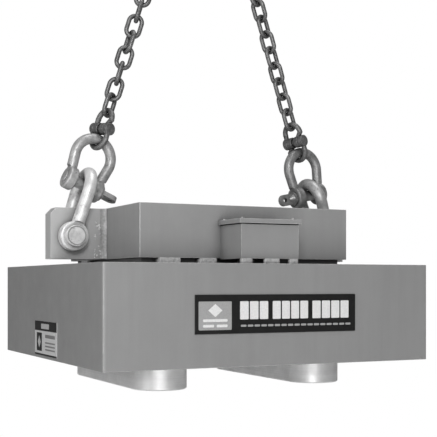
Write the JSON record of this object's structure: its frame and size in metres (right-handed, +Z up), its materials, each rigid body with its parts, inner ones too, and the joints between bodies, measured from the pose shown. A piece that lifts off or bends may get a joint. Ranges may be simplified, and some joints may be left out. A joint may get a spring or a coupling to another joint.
{
  "type": "lifting magnet",
  "caption": "Rectangular twin-pole electromagnet with a welded bail box and terminal box, hung by shackles and couplings from a two-leg chain sling.",
  "frame": {"origin": "centre of the plane of the two pole faces, under the middle of the case", "axes": "+Z up, from the pole faces to the master link; +X along the lifting bar to the right lug; -Y to the front, where the terminal box and nameplate are"},
  "size_m": [0.921, 0.8835, 1.8228],
  "materials": {
    "case_paint": "satin grey enamel over steel plate",
    "manganese_plate": "dull, scuffed non-magnetic plate",
    "pole_steel": "machined, bright",
    "fastener_steel": "zinc plated",
    "coil_strap": "bare aluminium strap",
    "former_board": "pressed insulation board",
    "lead_insulation": "matt",
    "potting": "matt",
    "gland_brass": "nickel-plated look, satin",
    "terminal_moulding": "phenolic moulding",
    "gasket_rubber": "matt",
    "nameplate_enamel": "black enamel with pale raised panels",
    "rivet_metal": "bright",
    "label_print": "printed vinyl",
    "forged_steel": "dark forged, oiled",
    "chain_steel": "dark heat-treated chain",
    "bright_galvanised": "bright galvanised forging",
    "dull_galvanised": "weathered galvanised forging"
  },
  "bodies": {
    "master_link": {"master_link": "forged_steel"},
    "left_leg_upper": {"left_top_coupling_upper_half": "forged_steel", "left_top_coupling_lower_half": "forged_steel", "left_top_coupling_pin": "forged_steel", "left_chain_upper": "chain_steel"},
    "left_leg_lower": {"left_chain_lower": "chain_steel", "left_coupling_upper_half": "forged_steel", "left_coupling_lower_half": "forged_steel", "left_coupling_pin": "forged_steel"},
    "left_chain_shackle": {"left_chain_shackle": "dull_galvanised"},
    "left_screw_pin": {"left_screw_pin": "dull_galvanised"},
    "left_lug_shackle": {"left_lug_shackle": "bright_galvanised"},
    "left_lug_pin": {"left_lug_pin": "bright_galvanised", "left_lug_cotter": "dull_galvanised"},
    "right_leg_upper": {"right_top_coupling_upper_half": "forged_steel", "right_top_coupling_lower_half": "forged_steel", "right_top_coupling_pin": "forged_steel", "right_chain_upper": "chain_steel"},
    "right_leg_lower": {"right_chain_lower": "chain_steel", "right_coupling_upper_half": "forged_steel", "right_coupling_lower_half": "forged_steel", "right_coupling_pin": "forged_steel"},
    "right_chain_shackle": {"right_chain_shackle": "dull_galvanised"},
    "right_screw_pin": {"right_screw_pin": "dull_galvanised"},
    "right_lug_shackle": {"right_lug_shackle": "bright_galvanised"},
    "right_lug_pin": {"right_lug_pin": "bright_galvanised", "right_lug_cotter": "dull_galvanised"},
    "magnet": {"front_wall": "case_paint", "back_wall": "case_paint", "left_wall": "case_paint", "right_wall": "case_paint", "yoke_plate": "case_paint", "core_bolts": "fastener_steel", "bottom_plate": "manganese_plate", "left_pole_core": "pole_steel", "right_pole_core": "pole_steel", "left_coil": "coil_strap", "right_coil": "coil_strap", "coil_formers": "former_board", "coil_leads": "lead_insulation", "potting_compound": "potting", "spacer_plate": "case_paint", "bail_front": "case_paint", "bail_back": "case_paint", "bail_sides": "case_paint", "bail_floor": "case_paint", "bail_top": "case_paint", "lifting_bar": "case_paint", "weld_beads": "case_paint", "cable_gland": "gland_brass", "terminal_box": "case_paint", "terminal_bed": "terminal_moulding", "terminal_studs": "fastener_steel", "nameplate": "nameplate_enamel", "nameplate_rivets": "rivet_metal", "side_label": "label_print"},
    "terminal_cover": {"terminal_gasket": "gasket_rubber", "terminal_cover": "case_paint", "cover_screws": "fastener_steel"}
  },
  "joints": [
    {"name": "left_leg_swing", "type": "hinge", "parent": "master_link", "child": "left_leg_upper", "pos_m": [-0.02114, 0, 1.58415], "axis": [1, 0, 0], "range_deg": [-40, 40]},
    {"name": "left_chain_flex", "type": "hinge", "parent": "left_leg_upper", "child": "left_leg_lower", "pos_m": [-0.17636, 0, 1.10202], "axis": [1, 0, 0], "range_deg": [-10, 10]},
    {"name": "left_shackle_rock", "type": "hinge", "parent": "left_leg_lower", "child": "left_chain_shackle", "pos_m": [-0.31698, 0, 0.66519], "axis": [1, 0, 0], "range_deg": [-12, 12]},
    {"name": "left_screw_pin_turn", "type": "hinge", "parent": "left_chain_shackle", "child": "left_screw_pin", "pos_m": [-0.36401, -0.00072, 0.54146], "axis": [0.9164, 0.1041, -0.3866], "continuous": true},
    {"name": "left_lug_shackle_tilt", "type": "hinge", "parent": "magnet", "child": "left_lug_shackle", "pos_m": [-0.403, 0, 0.398], "axis": [0, 1, 0], "range_deg": [-0.5, 0.5]},
    {"name": "left_lug_pin_turn", "type": "hinge", "parent": "left_lug_shackle", "child": "left_lug_pin", "pos_m": [-0.403, 0, 0.398], "axis": [0, 1, 0], "continuous": true},
    {"name": "right_leg_swing", "type": "hinge", "parent": "master_link", "child": "right_leg_upper", "pos_m": [0.02114, 0, 1.58415], "axis": [1, 0, 0], "range_deg": [-40, 40]},
    {"name": "right_chain_flex", "type": "hinge", "parent": "right_leg_upper", "child": "right_leg_lower", "pos_m": [0.17636, 0, 1.10202], "axis": [1, 0, 0], "range_deg": [-10, 10]},
    {"name": "right_shackle_rock", "type": "hinge", "parent": "right_leg_lower", "child": "right_chain_shackle", "pos_m": [0.31698, 0, 0.66519], "axis": [1, 0, 0], "range_deg": [-12, 12]},
    {"name": "right_screw_pin_turn", "type": "hinge", "parent": "right_chain_shackle", "child": "right_screw_pin", "pos_m": [0.34967, -0.00115, 0.53698], "axis": [-0.9695, -0.1384, -0.2023], "continuous": true},
    {"name": "right_lug_shackle_tilt", "type": "hinge", "parent": "magnet", "child": "right_lug_shackle", "pos_m": [0.403, 0, 0.398], "axis": [0, 1, 0], "range_deg": [-0.5, 0.5]},
    {"name": "right_lug_pin_turn", "type": "hinge", "parent": "right_lug_shackle", "child": "right_lug_pin", "pos_m": [0.403, 0, 0.398], "axis": [0, 1, 0], "continuous": true},
    {"name": "magnet_pitch", "type": "hinge", "parent": "left_chain_shackle", "child": "magnet", "pos_m": [-0.36401, -0.00072, 0.54146], "axis": [1, -0.0006, -0.0063], "range_deg": [-10, 10]},
    {"name": "terminal_cover_lift", "type": "slide", "parent": "magnet", "child": "terminal_cover", "axis": [0, 0, 1], "range_m": [0, 0.12]}
  ],
  "couplings": [
    {"joint": "right_leg_swing", "follows": "left_leg_swing", "ratio": 1},
    {"joint": "right_chain_flex", "follows": "left_chain_flex", "ratio": 1},
    {"joint": "right_shackle_rock", "follows": "left_shackle_rock", "ratio": 1}
  ]
}
